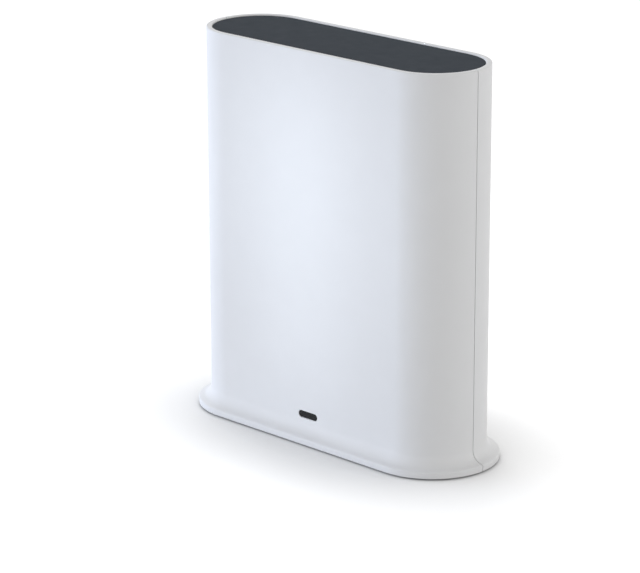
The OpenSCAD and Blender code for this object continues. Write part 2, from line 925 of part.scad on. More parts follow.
// Outline of the plug's cavity with its latch channel
module eth_outline(grow) {
    translate([eth_x - eth_cavity_w / 2 - grow, eth_floor - grow])
        square([eth_cavity_w + 2 * grow, eth_cavity_h + 2 * grow]);
    translate([eth_x - latch_w / 2 - grow, eth_floor - latch_h - grow])
        square([latch_w + 2 * grow, latch_h + 2 * grow]);
}

module ethernet_shield() {
    color("silver")
        difference() {
            block(eth_x, bay_z, eth_w, eth_h, board_rear, mouth_y);
            block(eth_x, bay_z, eth_w - 2 * eth_skin, eth_h - 2 * eth_skin, board_rear - over,
                mouth_y - eth_skin);
            along_y(mouth_y - eth_skin - over, mouth_y + over)
                eth_outline(fit_gap);
        }
}

module ethernet_insert() {
    face = mouth_y - eth_skin - fit_gap;
    room = 2 * (eth_skin + fit_gap);
    color([0.12, 0.12, 0.13])
        difference() {
            block(eth_x, bay_z, eth_w - room, eth_h - room, board_rear, face);
            along_y(mouth_y - eth_cavity_l, face + over)
                eth_outline(0);
        }
}

// Sprung wires that lean from the cavity's roof towards its back
module ethernet_contacts() {
    wire_y = mouth_y - wire_in;
    first = eth_x - (wire_count - 1) * wire_pitch / 2 - wire_w / 2;
    color("gold")
        for (i = [0:wire_count - 1])
            translate([first + i * wire_pitch, 0, 0])
                rotate([90, 0, 90])
                    linear_extrude(wire_w)
                        polygon([
                            [wire_y, eth_roof], [wire_y - wire_seat, eth_roof],
                            [wire_y - wire_l, eth_roof - wire_drop + wire_t],
                            [wire_y - wire_l, eth_roof - wire_drop]
                        ]);
}

module ethernet_transformer() {
    color([0.12, 0.12, 0.13])
        block(eth_x, coil_z, coil_w, coil_h, board_rear, board_rear + coil_t);
}

module usb_shell() {
    color("silver")
        difference() {
            block(usb_x, bay_z, usb_w, usb_h, board_rear, mouth_y);
            block(usb_x, bay_z, usb_w - 2 * usb_skin, usb_h - 2 * usb_skin, board_rear - over,
                mouth_y + over);
        }
}

// Filling of the storage socket, with the tongue that carries the contacts
module usb_insert() {
    room = 2 * (usb_skin + fit_gap);
    tip = mouth_y - tongue_short;
    color([0.12, 0.12, 0.13]) {
        block(usb_x, bay_z, usb_w - room, usb_h - room, board_rear, tip - tongue_l);
        block(usb_x, bay_z + tongue_up, tongue_w, tongue_t, tip - tongue_l, tip);
    }
}

module usb_contacts() {
    tip = mouth_y - tongue_short;
    under = bay_z + tongue_up - tongue_t / 2;
    color("gold")
        for (i = [0:strip_count - 1])
            block(usb_x + (i - (strip_count - 1) / 2) * strip_pitch, under - strip_t / 2,
                strip_w, strip_t, tip - tongue_l, tip - tongue_l + strip_l);
}

module dc_jack_body() {
    shoulder = plate_back - fit_gap;
    color([0.12, 0.12, 0.13])
        difference() {
            union() {
                block(dc_x, bay_z, dc_w, dc_h, board_rear, shoulder);
                rod(dc_x, bay_z, dc_collar_r, shoulder, mouth_y);
            }
            rod(dc_x, bay_z, dc_bore_r, mouth_y - dc_bore_l, mouth_y + over);
            block(dc_x, bay_z - (dc_bore_r + dc_slot) / 2, dc_leaf_w + 2 * fit_gap,
                dc_bore_r + dc_slot, mouth_y - dc_bore_l, mouth_y - dc_bore_l + dc_leaf_l + fit_gap);
        }
}

module dc_jack_pin() {
    pin_l = dc_bore_l - dc_pin_short;
    color("silver")
        translate([dc_x, mouth_y - dc_bore_l, bay_z])
            rotate([-90, 0, 0])
                rotate_extrude()
                    polygon([
                        [0, 0], [dc_pin_r, 0], [dc_pin_r, pin_l - dc_pin_chamfer],
                        [dc_pin_r - dc_pin_chamfer, pin_l], [0, pin_l]
                    ]);
}

module dc_jack_leaf() {
    color("gold")
        block(dc_x, bay_z - dc_bore_r - dc_slot + dc_leaf_t / 2, dc_leaf_w, dc_leaf_t,
            mouth_y - dc_bore_l, mouth_y - dc_bore_l + dc_leaf_l);
}

module capacitors() {
    color("darkslategray")
        for (i = [0:cap_count - 1])
            rod(dc_x, cap_z + i * cap_pitch, cap_r, board_rear, board_rear + cap_l);
}

module inductors() {
    color("dimgray")
        for (i = [0, 1])
            block(choke_x, choke_z + i * (choke_w + spacing), choke_w, choke_w, board_rear,
                board_rear + choke_t);
}

module crystal() {
    color("silver")
        translate([0, 0, crystal_z])
            along_y(board_front - crystal_t, board_front)
                polygon(pill(crystal_l, crystal_w));
}

// Antenna board stuck to the rear wall
module antenna(side) {
    color("saddlebrown")
        block(side * antenna_x, antenna_z, antenna_w, antenna_h, antenna_face, inner_y);
}

// Point of a lead's curve in depth and height, leaving both ends upright
function lead_point(t) =
    let (
        low_pull = lead_low + [0, lead_pull],
        high_pull = lead_high - [0, lead_pull],
        s = 1 - t
    )
    s * s * s * lead_low + 3 * s * s * t * low_pull + 3 * s * t * t * high_pull
        + t * t * t * lead_high;

// Direction of that curve
function lead_direction(t) =
    let (step = 1 / lead_rings / 4, d = lead_point(min(1, t + step)) - lead_point(max(0, t - step)))
    d / norm(d);

// Lead from its plug on the board up to the antenna board
module antenna_lead(side) {
    r = lead_d / 2;
    rings = [
        for (i = [0:lead_rings]) let (t = i / lead_rings, p = lead_point(t), d = lead_direction(t))
            for (k = [0:lead_sides - 1]) let (a = 360 * k / lead_sides)
                [side * antenna_x + r * cos(a), p[0] + r * sin(a) * d[1], p[1] - r * sin(a) * d[0]]
    ];
    walls = [
        for (i = [0:lead_rings - 1], k = [0:lead_sides - 1])
            let (next = (k + 1) % lead_sides, a = i * lead_sides, b = a + lead_sides)
                each [[a + k, b + k, a + next], [a + next, b + k, b + next]]
    ];
    start_cap = [for (k = [1:lead_sides - 2]) [0, k, k + 1]];
    last = lead_rings * lead_sides;
    end_cap = [for (k = [1:lead_sides - 2]) [last, last + k + 1, last + k]];
    color("dimgray")
        polyhedron(rings, concat(walls, start_cap, end_cap));
}

module antenna_left() {
    antenna(-1);
}

module antenna_right() {
    antenna(1);
}

module lead_left() {
    antenna_lead(-1);
}

module lead_right() {
    antenna_lead(1);
}

module lead_plugs() {
    color("gold")
        for (side = [-1, 1])
            rod(side * antenna_x, lead_plug_z, lead_plug_r, board_rear, board_rear + lead_plug_h);
}

front_shell();
rear_shell();
top_panel();
base_plate();
rubber_feet();
base_screws();
light_pipe();
status_led();
io_plate();
sync_button();
sync_switch();
sync_plunger();
reset_switch();
reset_plunger();
main_board();
board_screws();
processor();
thermal_pad();
heat_sink();
memory_chips();
flash_chip();
radio_shield();
radio_chips();
ethernet_shield();
ethernet_insert();
ethernet_contacts();
ethernet_transformer();
usb_shell();
usb_insert();
usb_contacts();
dc_jack_body();
dc_jack_pin();
dc_jack_leaf();
capacitors();
inductors();
crystal();
antenna_left();
antenna_right();
lead_left();
lead_right();
lead_plugs();
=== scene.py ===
"""Looks of an upright base station: white shells, charcoal cover, smoked window, rear sockets."""

import json
import math

import bmesh
import bpy
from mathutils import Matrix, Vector


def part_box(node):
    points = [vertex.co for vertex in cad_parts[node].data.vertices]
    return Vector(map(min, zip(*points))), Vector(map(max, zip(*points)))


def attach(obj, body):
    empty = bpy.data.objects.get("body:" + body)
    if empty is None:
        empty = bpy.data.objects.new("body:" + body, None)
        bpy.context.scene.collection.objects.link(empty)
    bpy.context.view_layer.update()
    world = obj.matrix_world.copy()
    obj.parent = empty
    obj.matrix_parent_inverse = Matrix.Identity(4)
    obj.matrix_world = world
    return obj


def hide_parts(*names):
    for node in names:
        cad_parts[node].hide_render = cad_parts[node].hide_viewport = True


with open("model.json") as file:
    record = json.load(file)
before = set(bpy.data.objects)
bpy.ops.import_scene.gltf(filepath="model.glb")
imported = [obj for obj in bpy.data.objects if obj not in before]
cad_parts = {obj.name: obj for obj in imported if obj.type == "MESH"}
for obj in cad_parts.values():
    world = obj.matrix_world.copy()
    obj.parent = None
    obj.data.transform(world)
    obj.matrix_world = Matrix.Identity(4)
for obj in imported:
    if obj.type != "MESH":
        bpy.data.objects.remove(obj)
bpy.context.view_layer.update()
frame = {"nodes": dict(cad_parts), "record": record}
MM = 0.001

# Clearances and roundings of the case, in metres
FIT = 0.12 * MM
RUN_GAP = 0.3 * MM
WALL = 2.1 * MM
RIM_ROUND = 0.5 * MM
SEAM = 0.3 * MM
SEAM_EASE = 0.08 * MM
LIP_T = 1 * MM
LIP_REACH = 1.6 * MM
LIP_CLEAR = 1 * MM
FOOT_SLOPE = 16
FOOT_COVE = 4 * MM
FOOT_EDGE_H = 2.3 * MM
FOOT_EDGE_ROUND = 0.6 * MM
FOOT_UNDER_ROUND = 0.4 * MM

# Top cover and its hooks
PANEL_T = 1.8 * MM
PANEL_EASE = 0.25 * MM
LEDGE_W = 1.5 * MM
LEDGE_T = 1.4 * MM
HOOK_X = 24 * MM
HOOK_W = 8 * MM
HOOK_T = 1.2 * MM
HOOK_BITE = 0.7 * MM

# Base plate, rubber feet and screws
VENT_L = 20 * MM
VENT_W = 2 * MM
VENT_PITCH = 4 * MM
VENT_X = 18 * MM
VENT_COUNT = 5
FIELD_W = 28 * MM
FIELD_D = 20 * MM
FIELD_ROUND = 1.5 * MM
FIELD_SUNK = 0.3 * MM
BASE_EASE = 0.2 * MM
PAD_R = 5.5 * MM
PAD_ROUND = 0.3 * MM
SCREW_R = 1.4 * MM
SCREW_L = 8 * MM
SCREW_POINT = 1 * MM
SCREW_GAP = 0.1 * MM
HEAD_R = 2.7 * MM
HEAD_T = 1.1 * MM
HEAD_ROUND = 0.35 * MM
CROSS_L = 2.8 * MM
CROSS_W = 0.6 * MM
CROSS_DEEP = 0.6 * MM
BOSS_R = 3 * MM
BLIND = 1.2 * MM
POST_R = 3 * MM

# Status window
PIPE_BORDER = 1.4 * MM
PIPE_FLANGE = 1.2 * MM
PIPE_EASE = 0.18 * MM
WINDOW_EASE = 0.14 * MM

# Connector bay and its plate
BAY_ROUND = 2.5 * MM
BAY_FRAME = 1.4 * MM
BAY_EASE = 0.4 * MM
PLATE_SEAT = 1.2 * MM
PLATE_EASE = 0.18 * MM
RESET_HOLE_R = 0.9 * MM

# Sync button
SYNC_R = 5 * MM
SYNC_FLANGE = 1.3 * MM
SYNC_FLANGE_T = 1.2 * MM
SYNC_STEM_R = 2 * MM
SYNC_ROUND = 0.5 * MM
SYNC_DISH_R = 3.9 * MM
SYNC_DISH = 0.3 * MM
GUIDE_L = 5 * MM
GUIDE_T = 1.4 * MM

# Network socket
ETH_SKIN = 0.4 * MM
ETH_ROUND = 0.35 * MM
ETH_EASE = 0.14 * MM
CAVITY_W = 11.9 * MM
CAVITY_H = 7.2 * MM
CAVITY_L = 12.4 * MM
LATCH_W = 6.2 * MM
LATCH_H = 2 * MM
COMB_DEEP = 0.5 * MM
COMB_GAP = 0.12 * MM
WIRE_COUNT = 8
WIRE_PITCH = 1.02 * MM
WIRE_W = 0.5 * MM
WIRE_T = 0.35 * MM
WIRE_DROP = 1.9 * MM
WIRE_L = 6 * MM
WIRE_IN = 3 * MM
WIRE_SEAT = 1 * MM
WIRE_EASE = 0.07 * MM

# Storage socket
USB_SKIN = 0.35 * MM
USB_ROUND = 0.6 * MM
USB_EASE = 0.1 * MM
TONGUE_W = 11.1 * MM
TONGUE_T = 1.9 * MM
TONGUE_L = 9.2 * MM
TONGUE_SHORT = 0.7 * MM
TONGUE_UP = 0.7 * MM
TONGUE_EASE = 0.3 * MM
STRIP_COUNT = 4
STRIP_PITCH = 2.3 * MM
STRIP_W = 1 * MM
STRIP_T = 0.2 * MM
STRIP_L = 7 * MM
STRIP_EASE = 0.05 * MM

# Power socket
COLLAR_R = 4.4 * MM
BORE_R = 3.2 * MM
BORE_L = 9.6 * MM
BORE_EASE = 0.25 * MM
PIN_R = 1.05 * MM
PIN_ROUND = 0.5 * MM
LEAF_W = 2.4 * MM
LEAF_T = 0.3 * MM
LEAF_L = 6 * MM
LEAF_BOW = 0.5 * MM
LEAF_SLOT = 0.9 * MM

# Fineness of the meshes
OVER = 1 * MM
MERGE = 0.002 * MM
ARC_STEPS = 8
COVE_STEPS = 16
END_STEPS = 36
SLOT_STEPS = 12
ROUND_STEPS = 64
EASE_STEPS = 2
FINE_EASE_STEPS = 3
SHARP = math.radians(40)
SMOOTH = math.radians(32)

# Noise and gloss of the finishes
PLASTIC_LEVEL = 0.5
NOISE_LOW = 0.3
NOISE_HIGH = 0.7
NOISE_DETAIL = 3
TONE_BLOT = 9 * MM
GLOSS_BLOT = 4 * MM
STREAK = 0.25 * MM
STREAK_DETAIL = 4
STREAK_DEPTH = 0.004 * MM

# Lacquer of the circuit board
TRACK_CELL = 9 * MM
TRACK_W = 0.03
TRACK_DEPTH = 0.03 * MM
TRACK_GREEN = (0.02, 0.15, 0.065)
LACQUER_GREENS = ((0.008, 0.075, 0.032), (0.01, 0.09, 0.038))
LACQUER_GLOSS = (0.3, 0.42)
LACQUER_BLOT = 3 * MM

# Sizes and places that the frame gives
shell_lo, shell_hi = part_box("front_shell")
_, panel_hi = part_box("top_panel")
base_lo, base_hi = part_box("base_plate")
pad_lo, pad_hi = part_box("rubber_feet")
screw_lo, screw_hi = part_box("base_screws")
pipe_lo, pipe_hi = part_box("light_pipe")
plate_lo, plate_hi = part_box("io_plate")
sync_lo, sync_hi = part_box("sync_button")
reset_lo, reset_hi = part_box("reset_plunger")
eth_lo, eth_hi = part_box("ethernet_shield")
usb_lo, usb_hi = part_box("usb_shell")
dc_lo, dc_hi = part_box("dc_jack_body")
pin_lo, pin_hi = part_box("dc_jack_pin")
leaf_lo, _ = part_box("dc_jack_leaf")
board_lo, board_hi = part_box("main_board")
post_lo, post_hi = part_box("board_screws")

inner_reach = panel_hi.y + FIT
end_reach = inner_reach + WALL
sunk_reach = end_reach - WALL / 2
run = 2 * (panel_hi.x - panel_hi.y)
foot_out = shell_hi.x - run / 2 - end_reach
rim_z = shell_hi.z
foot_z = shell_lo.z
base_reach = base_hi.y + FIT
base_top = base_hi.z
panel_z = panel_hi.z
ledge_z = panel_z - PANEL_T
ledge_under = ledge_z - LEDGE_T
boss_x = screw_hi.x - HEAD_R
boss_y = screw_hi.y - HEAD_R
head_seat = screw_lo.z + HEAD_T
window_w = 2 * (pipe_hi.x - PIPE_BORDER)
window_h = pipe_hi.z - pipe_lo.z - 2 * PIPE_BORDER
window_z = (pipe_lo.z + pipe_hi.z) / 2
plate_y = plate_hi.y
plate_back = plate_lo.y
bay_z = (plate_lo.z + plate_hi.z) / 2
bay_w = plate_hi.x - plate_lo.x - 2 * (PLATE_SEAT - FIT)
bay_h = plate_hi.z - plate_lo.z - 2 * (PLATE_SEAT - FIT)
reset_x = (reset_lo.x + reset_hi.x) / 2
sync_z = (sync_lo.z + sync_hi.z) / 2
guide_r = SYNC_R + SYNC_FLANGE + RUN_GAP
flange_y = inner_reach - RUN_GAP
mouth_y = eth_hi.y
board_rear = board_hi.y
eth_x = (eth_lo.x + eth_hi.x) / 2
eth_roof = bay_z + (CAVITY_H + LATCH_H) / 2
eth_floor = eth_roof - CAVITY_H
usb_x = (usb_lo.x + usb_hi.x) / 2
dc_x = (dc_lo.x + dc_hi.x) / 2
shoulder_y = plate_back - FIT


# Modelling by hand

def put_down():
    """Leaves edit mode, with nothing selected."""
    if bpy.context.object and bpy.context.object.mode == "EDIT":
        bpy.ops.object.mode_set(mode="OBJECT")
    bpy.ops.object.select_all(action="DESELECT")


def only(piece):
    """Leaves one piece selected and active, in object mode."""
    put_down()
    piece.select_set(True)
    bpy.context.view_layer.objects.active = piece


def edit(piece):
    """Opens one piece in edit mode."""
    only(piece)
    bpy.ops.object.mode_set(mode="EDIT")


def close(piece):
    """Leaves edit mode with the piece's doubles merged and its faces pointing outwards."""
    bpy.ops.mesh.select_all(action="SELECT")
    bpy.ops.mesh.remove_doubles(threshold=MERGE)
    bpy.ops.mesh.normals_make_consistent(inside=False)
    bpy.ops.object.mode_set(mode="OBJECT")
    return piece


def pick(piece, kind, test):
    """Selects, in edit mode, the points, edges or faces that pass a test."""
    bpy.ops.mesh.select_mode(type=kind)
    bpy.ops.mesh.select_all(action="DESELECT")
    mesh = bmesh.from_edit_mesh(piece.data)
    for part in {"VERT": mesh.verts, "EDGE": mesh.edges, "FACE": mesh.faces}[kind]:
        if test(part):
            part.select_set(True)
    bmesh.update_edit_mesh(piece.data)


def ease(piece, test, size, segments=EASE_STEPS):
    """Rounds the sharp edges whose two ends pass a test."""
    edit(piece)
    pick(piece, "EDGE", lambda e: all(test(v.co) for v in e.verts) and e.calc_face_angle(0) > SHARP)
    bpy.ops.mesh.bevel(offset=size, segments=segments, affect="EDGES")
    return close(piece)


def at_depth(y):
    """Test for points at a depth."""
    return lambda point: abs(point.y - y) < MERGE


def arc(centre, radius, start, end, steps=ARC_STEPS):
    """Points of an arc in a plane, from one angle to another in degrees."""
    turns = [math.radians(start + (end - start) * i / steps) for i in range(steps + 1)]
    return [(centre[0] + radius * math.cos(t), centre[1] + radius * math.sin(t)) for t in turns]


def pill(length, width, steps=END_STEPS):
    """Outline with full round ends."""
    middle = (length - width) / 2
    right = arc((middle, 0), width / 2, -90, 90, steps)
    left = arc((-middle, 0), width / 2, 90, 270, steps)
    return right + left


def disc(radius):
    """Round outline."""
    return arc((0, 0), radius, 0, 360, ROUND_STEPS)[:-1]


def rectangle(width, height):
    """Outline with sharp corners."""
    x, z = width / 2, height / 2
    return [(x, z), (-x, z), (-x, -z), (x, -z)]


def plus(length, width):
    """Outline of a cross with four equal arms."""
    a, b = length / 2, width / 2
    corner = [(a, b), (b, b), (b, a)]
    right_half = [(x, -y) for x, y in reversed(corner)] + corner
    return right_half + [(-x, -y) for x, y in right_half]


def round_rect(width, height, radius):
    """Outline of a rectangle with round corners."""
    x, z = width / 2 - radius, height / 2 - radius
    corners = ((x, z, 0), (-x, z, 90), (-x, -z, 180), (x, -z, 270))
    return [point for u, v, start in corners for point in arc((u, v), radius, start, start + 90)]


def draw(name, points, closed=True):
    """Starts a piece in edit mode as a line, each point drawn on from the one before."""
    put_down()
    bpy.ops.mesh.primitive_plane_add(size=MM)
    piece = bpy.context.object
    piece.name = name
    bpy.ops.object.mode_set(mode="EDIT")
    bpy.ops.mesh.select_mode(type="VERT")
    bpy.ops.mesh.select_all(action="SELECT")
    bpy.ops.mesh.merge(type="CENTER")
    bpy.ops.transform.translate(value=points[0])
    here = Vector(points[0])
    for point in points[1:] + (points[:1] if closed else []):
        step = Vector(point) - here
        bpy.ops.mesh.extrude_region_move(TRANSFORM_OT_translate={"value": step})
        here = Vector(point)
    bpy.ops.mesh.select_all(action="SELECT")
    bpy.ops.mesh.remove_doubles(threshold=MERGE)
    bpy.ops.mesh.select_all(action="SELECT")
    return piece


def raised(name, outline, along):
    """Closed bar: an outline that is filled and extruded along a direction."""
    piece = draw(name, outline)
    bpy.ops.mesh.edge_face_add()
    bpy.ops.mesh.extrude_region_move(TRANSFORM_OT_translate={"value": along})
    return close(piece)


def bar(name, outline, middle, start, end):
    """Closed bar along the depth, with an outline in width and height about a middle."""
    points = [(middle[0] + x, start, middle[1] + z) for x, z in outline]
    return raised(name, points, (0, end - start, 0))


def upright(name, outline, middle, start, end):
    """Closed bar along the height, with an outline in width and depth about a middle."""
    points = [(middle[0] + x, middle[1] + y, start) for x, y in outline]
    return raised(name, points, (0, 0, end - start))


def turned(name, profile, centre, axis):
    """Round piece: an open profile in reach and height, spun about an upright or a level axis."""
    u, v = centre
    if axis == "Z":
        points = [(u + r, v, h) for r, h in profile]
        middle, around = (u, v, 0), (0, 0, 1)
    else:
        points = [(u + r, h, v) for r, h in profile]
        middle, around = (u, 0, v), (0, 1, 0)
    piece = draw(name, points, closed=False)
    bpy.ops.mesh.spin(steps=ROUND_STEPS, angle=2 * math.pi, center=middle, axis=around)
    return close(piece)


def repeated(piece, steps):
    """Copies a piece by each step from where it was made, and keeps all as one group."""
    copies = [piece]
    for step in steps:
        only(piece)
        bpy.ops.object.duplicate()
        copy = bpy.context.object
        edit(copy)
        bpy.ops.mesh.select_all(action="SELECT")
        bpy.ops.transform.translate(value=step)
        bpy.ops.object.mode_set(mode="OBJECT")
        copies.append(copy)
    only(piece)
    for copy in copies:
        copy.select_set(True)
    bpy.ops.object.join()
    return piece


def at_corners(piece, x, y):
    """Copies a piece, made at the corner of least x and y, to the other three corners."""
    return repeated(piece, [(2 * x, 0, 0), (0, 2 * y, 0), (2 * x, 2 * y, 0)])


def combine(piece, tool, operation):
    """Joins a piece with another or cuts it by another, which is then gone."""
    only(piece)
    modifier = piece.modifiers.new("shape", "BOOLEAN")
    modifier.operation = operation
    modifier.object = tool
    modifier.solver = "EXACT"
    bpy.ops.object.modifier_apply(modifier=modifier.name)
    bpy.data.objects.remove(tool)
    return piece


def join(piece, tool):
    """Adds another piece."""
    return combine(piece, tool, "UNION")


def cut(piece, tool):
    """Takes the room of another piece away."""
    return combine(piece, tool, "DIFFERENCE")


def smooth(piece):
    """Smooth shading with flat faces kept flat beside their roundings."""
    only(piece)
    bpy.ops.object.shade_smooth_by_angle(angle=SMOOTH)
    modifier = piece.modifiers.new("normals", "WEIGHTED_NORMAL")
    modifier.keep_sharp = True
    bpy.ops.object.modifier_apply(modifier=modifier.name)
    return piece


def hand_over(piece, slot, node, body="root"):
    """Gives a finished piece its finish, the body that it rides on and the node it stands for."""
    smooth(piece)
    piece.data.materials.clear()
    piece.data.materials.append(finishes[slot])
    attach(piece, body)
    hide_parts(node)
    return piece


# Finishes

def blank(name):
    """Material with its node tree and main shader."""
    material = bpy.data.materials.new(name)
    material.use_nodes = True
    return material, material.node_tree, material.node_tree.nodes["Principled BSDF"]


def place(tree, stretch=(1, 1, 1)):
    """Object coordinates, stretched along an axis where a pattern runs that way."""
    coordinates = tree.nodes.new("ShaderNodeTexCoord")
    mapping = tree.nodes.new("ShaderNodeMapping")
    mapping.inputs["Scale"].default_value = stretch
    tree.links.new(coordinates.outputs["Object"], mapping.inputs["Vector"])
    return mapping.outputs["Vector"]


def cloud(tree, where, size, detail=NOISE_DETAIL):
    """Noise whose blots are about as wide as a size in metres."""
    noise = tree.nodes.new("ShaderNodeTexNoise")
    noise.inputs["Scale"].default_value = 1 / size
    noise.inputs["Detail"].default_value = detail
    tree.links.new(where, noise.inputs["Vector"])
    return noise.outputs["Fac"]


def between(tree, factor, low, high):
    """Brings a noise to a range of values."""
    node = tree.nodes.new("ShaderNodeMapRange")
    node.inputs["From Min"].default_value = NOISE_LOW
    node.inputs["From Max"].default_value = NOISE_HIGH
    node.inputs["To Min"].default_value = low
    node.inputs["To Max"].default_value = high
    tree.links.new(factor, node.inputs["Value"])
    return node.outputs["Result"]


def blended(tree, factor, first, second):
    """Colour that moves between two shades along a factor."""
    ramp = tree.nodes.new("ShaderNodeValToRGB")
    stops = zip(ramp.color_ramp.elements, (NOISE_LOW, NOISE_HIGH), (first, second))
    for stop, position, colour in stops:
        stop.position = position
        stop.color = (*colour, 1)
    tree.links.new(factor, ramp.inputs["Fac"])
    return ramp.outputs["Color"]


def raise_grain(tree, shader, height, depth):
    """Bump from a height between 0 and 1 and a depth in metres."""
    bump = tree.nodes.new("ShaderNodeBump")
    bump.inputs["Strength"].default_value = 1
    bump.inputs["Distance"].default_value = depth
    tree.links.new(height, bump.inputs["Height"])
    tree.links.new(bump.outputs["Normal"], shader.inputs["Normal"])


def moulded(name, first, second, gloss, grain, depth, level=PLASTIC_LEVEL):
    """Moulded plastic or rubber: two close shades, uneven gloss and a fine grain."""
    material, tree, shader = blank(name)
    where = place(tree)
    tone = blended(tree, cloud(tree, where, TONE_BLOT), first, second)
    tree.links.new(tone, shader.inputs["Base Color"])
    sheen = between(tree, cloud(tree, where, GLOSS_BLOT), *gloss)
    tree.links.new(sheen, shader.inputs["Roughness"])
    raise_grain(tree, shader, cloud(tree, where, grain), depth)
    shader.inputs["Specular IOR Level"].default_value = level
    return material


def rolled(name, first, second, gloss, streak):
    """Sheet metal with fine streaks along one axis."""
    material, tree, shader = blank(name)
    lines = cloud(tree, place(tree, streak), STREAK, STREAK_DETAIL)
    tree.links.new(blended(tree, lines, first, second), shader.inputs["Base Color"])
    tree.links.new(between(tree, lines, *gloss), shader.inputs["Roughness"])
    raise_grain(tree, shader, lines, STREAK_DEPTH)
    shader.inputs["Metallic"].default_value = 1
    return material


def lacquered(name):
    """Circuit board: lacquer over copper lines that show as paler, slightly raised bands."""
    material, tree, shader = blank(name)
    where = place(tree)
    lines = tree.nodes.new("ShaderNodeTexBrick")
    lines.inputs["Scale"].default_value = 1 / TRACK_CELL
    lines.inputs["Mortar Size"].default_value = TRACK_W
    for name, green in zip(("Color1", "Color2", "Mortar"), (*LACQUER_GREENS, TRACK_GREEN)):
        lines.inputs[name].default_value = (*green, 1)
    turn = tree.nodes.new("ShaderNodeMapping")
    turn.inputs["Rotation"].default_value = (math.pi / 2, 0, 0)
    tree.links.new(where, turn.inputs["Vector"])
    tree.links.new(turn.outputs["Vector"], lines.inputs["Vector"])
    tree.links.new(lines.outputs["Color"], shader.inputs["Base Color"])
    sheen = between(tree, cloud(tree, where, LACQUER_BLOT), *LACQUER_GLOSS)
    tree.links.new(sheen, shader.inputs["Roughness"])
    raise_grain(tree, shader, lines.outputs["Fac"], TRACK_DEPTH)
    return material


finishes = {
    "white_shell": moulded("satin_white", (0.875, 0.875, 0.875), (0.885, 0.885, 0.885),
                           (0.45, 0.53), 0.35 * MM, 0.004 * MM, 0.4),
    "charcoal_cover": moulded("fine_charcoal", (0.058, 0.067, 0.079), (0.063, 0.072, 0.084),
                              (0.62, 0.7), 0.22 * MM, 0.008 * MM, 0.02),
    "smoked_window": moulded("smoked", (0.008, 0.009, 0.01), (0.012, 0.013, 0.014),
                             (0.16, 0.24), 0.8 * MM, 0.003 * MM, 0.25),
    "button_white": moulded("button_satin", (0.865, 0.865, 0.865), (0.875, 0.875, 0.875),
                            (0.32, 0.4), 0.3 * MM, 0.005 * MM),
    "foot_rubber": moulded("grey_rubber", (0.028, 0.028, 0.03), (0.04, 0.04, 0.042),
                           (0.75, 0.9), 0.3 * MM, 0.05 * MM, 0.3),
    "board_green": lacquered("green_lacquer"),
    "chip_black": moulded("epoxy_black", (0.012, 0.012, 0.013), (0.02, 0.02, 0.022),
                          (0.5, 0.65), 0.12 * MM, 0.02 * MM),
    "socket_black": moulded("nylon_black", (0.01, 0.01, 0.011), (0.016, 0.016, 0.017),
                            (0.38, 0.5), 0.25 * MM, 0.01 * MM),
    "shield_steel": rolled("tinned_steel", (0.42, 0.43, 0.44), (0.52, 0.53, 0.54),
                           (0.22, 0.36), (1, 0.06, 1)),
    "contact_gold": rolled("gold_plate", (0.72, 0.5, 0.17), (0.82, 0.6, 0.24),
                           (0.18, 0.3), (1, 0.1, 1)),
    "sink_aluminium": rolled("extruded_aluminium", (0.6, 0.61, 0.62), (0.72, 0.73, 0.75),
                             (0.3, 0.45), (1, 1, 0.03)),
    "thermal_grey": moulded("soft_silicone", (0.3, 0.36, 0.42), (0.36, 0.41, 0.48),
                            (0.6, 0.75), 0.6 * MM, 0.03 * MM),
    "screw_steel": rolled("zinc_plate", (0.5, 0.5, 0.51), (0.64, 0.64, 0.65),
                          (0.25, 0.4), (1, 1, 0.2)),
    "lead_grey": moulded("lead_jacket", (0.06, 0.06, 0.063), (0.08, 0.08, 0.083),
                         (0.4, 0.55), 0.4 * MM, 0.01 * MM),
    "antenna_brown": moulded("copper_strip", (0.2, 0.09, 0.035), (0.27, 0.12, 0.05),
                             (0.35, 0.5), 0.5 * MM, 0.01 * MM),
    "lamp_ivory": moulded("lamp_resin", (0.72, 0.66, 0.45), (0.8, 0.74, 0.54),
                          (0.3, 0.4), 0.5 * MM, 0.004 * MM),
    "can_dark": rolled("sleeved_can", (0.045, 0.06, 0.08), (0.06, 0.08, 0.1),
                       (0.35, 0.5), (1, 0.1, 1)),
}


# Case

def wall_section():
    """Section of the case wall as reach from the end's axis and height, starting inside the rim."""
    turn = 90 - FOOT_SLOPE
    cove_in = FOOT_COVE * (1 - math.cos(math.radians(turn)))
    cove_down = FOOT_COVE * math.sin(math.radians(turn))
    corner_z = foot_z + FOOT_EDGE_H
    cove_z = corner_z + (foot_out - cove_in) * math.tan(math.radians(FOOT_SLOPE)) + cove_down
    edge_z = corner_z - FOOT_EDGE_ROUND * math.tan(math.radians(turn / 2))
    foot_reach = end_reach + foot_out
    under = (foot_reach - FOOT_UNDER_ROUND, foot_z + FOOT_UNDER_ROUND)
    return (
        arc((inner_reach + RIM_ROUND, rim_z - RIM_ROUND), RIM_ROUND, 180, 90)
        + arc((end_reach - RIM_ROUND, rim_z - RIM_ROUND), RIM_ROUND, 90, 0)
        + arc((end_reach + FOOT_COVE, cove_z), FOOT_COVE, 180, 180 + turn, COVE_STEPS)
        + arc((foot_reach - FOOT_EDGE_ROUND, edge_z), FOOT_EDGE_ROUND, turn, 0)
        + arc(under, FOOT_UNDER_ROUND, 0, -90)
        + [
            (base_reach, foot_z),
            (base_reach, base_top),
            (inner_reach, base_top),
            (inner_reach, ledge_under),
            (inner_reach - LEDGE_W, ledge_under),
            (inner_reach - LEDGE_W, ledge_z),
            (inner_reach, ledge_z),
        ]
    )


